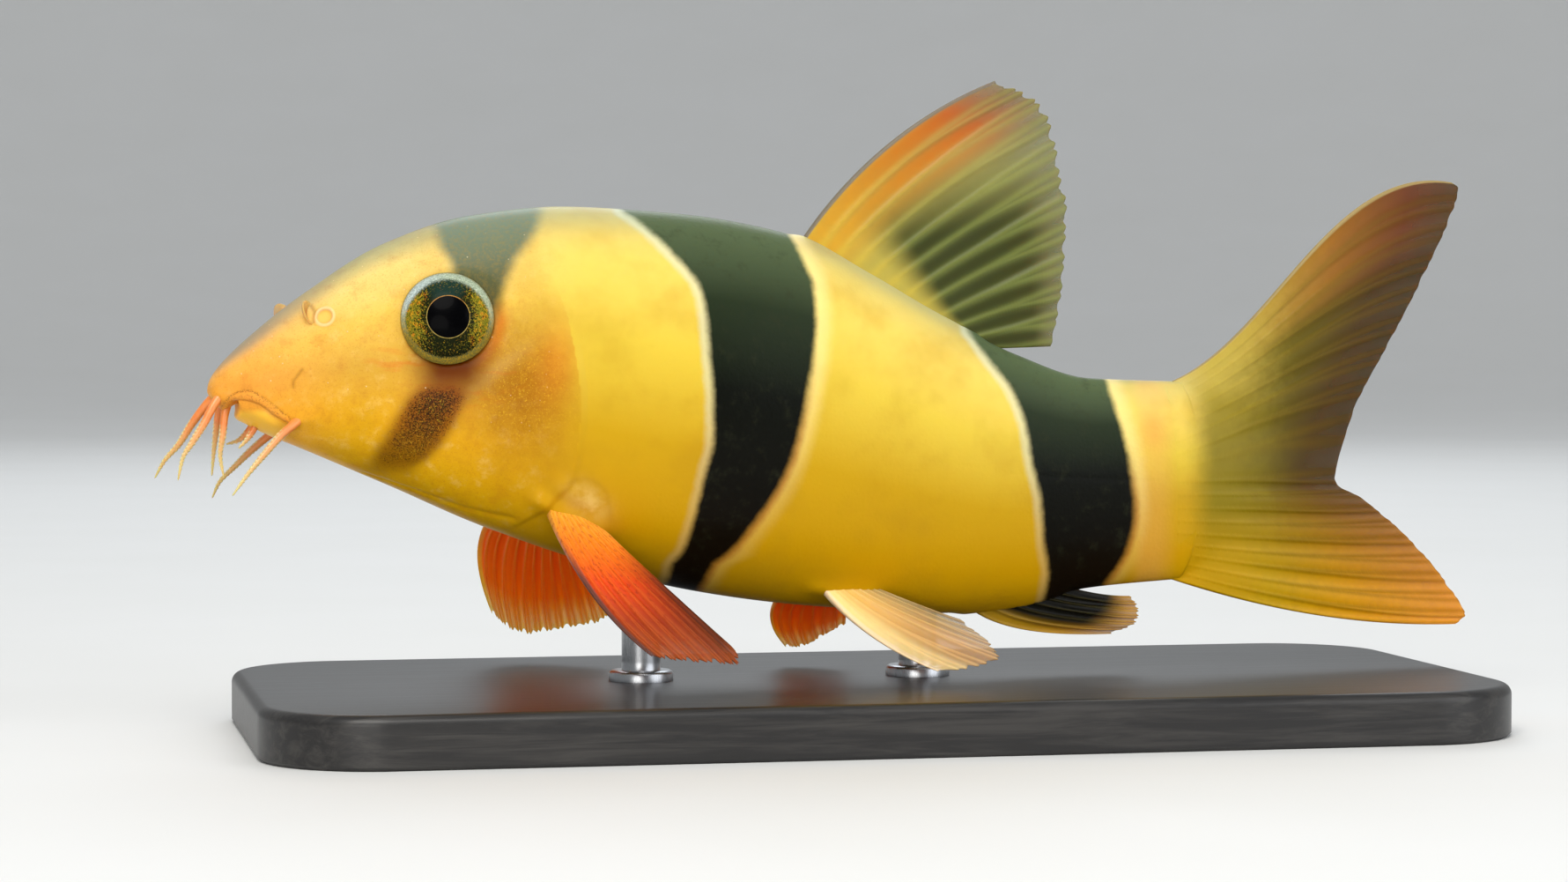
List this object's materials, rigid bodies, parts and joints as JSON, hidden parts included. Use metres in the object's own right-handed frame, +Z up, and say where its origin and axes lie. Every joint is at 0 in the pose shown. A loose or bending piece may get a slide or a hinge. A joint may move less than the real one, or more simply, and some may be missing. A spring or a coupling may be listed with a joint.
{
  "type": "clown loach display model on a stand",
  "caption": "Life-size still model of a young clown loach with spread fins and barbels, held in a swimming pose on a flat base by short rods.",
  "frame": {"origin": "centre of the stand base's underside, on the surface that it stands on", "axes": "+Z up, +X towards the tail, so the head points along -X; the fish's left side faces -Y"},
  "size_m": [0.1054, 0.044, 0.0506],
  "materials": {
    "skin": "moist satin painted skin, yellow to orange with three soft-edged black bands",
    "eyes": "high gloss, black pupil in a gold-flecked dark green iris",
    "olive_fins": "thin translucent membrane with raised rays, olive and orange",
    "red_fins": "thin translucent membrane with raised rays, orange to dark red",
    "barbels": "satin, orange at the root and pale at the tip",
    "base": "black satin lacquer",
    "rods": "fine brushed"
  },
  "bodies": {
    "root": {"head": "skin", "torso": "skin", "tail_stem": "skin", "eye_left": "eyes", "eye_right": "eyes", "dorsal_fin": "olive_fins", "anal_fin": "olive_fins", "tail_fin_upper": "olive_fins", "tail_fin_lower": "olive_fins", "pectoral_fin_left": "red_fins", "pectoral_fin_right": "red_fins", "pelvic_fin_left": "red_fins", "pelvic_fin_right": "red_fins", "barbel_rostral_outer_left": "barbels", "barbel_rostral_outer_right": "barbels", "barbel_rostral_inner_left": "barbels", "barbel_rostral_inner_right": "barbels", "barbel_maxillary_left": "barbels", "barbel_maxillary_right": "barbels", "barbel_mandibular_left": "barbels", "barbel_mandibular_right": "barbels", "stand_base": "base", "stand_rod_front": "rods", "stand_rod_rear": "rods"}
  },
  "joints": []
}
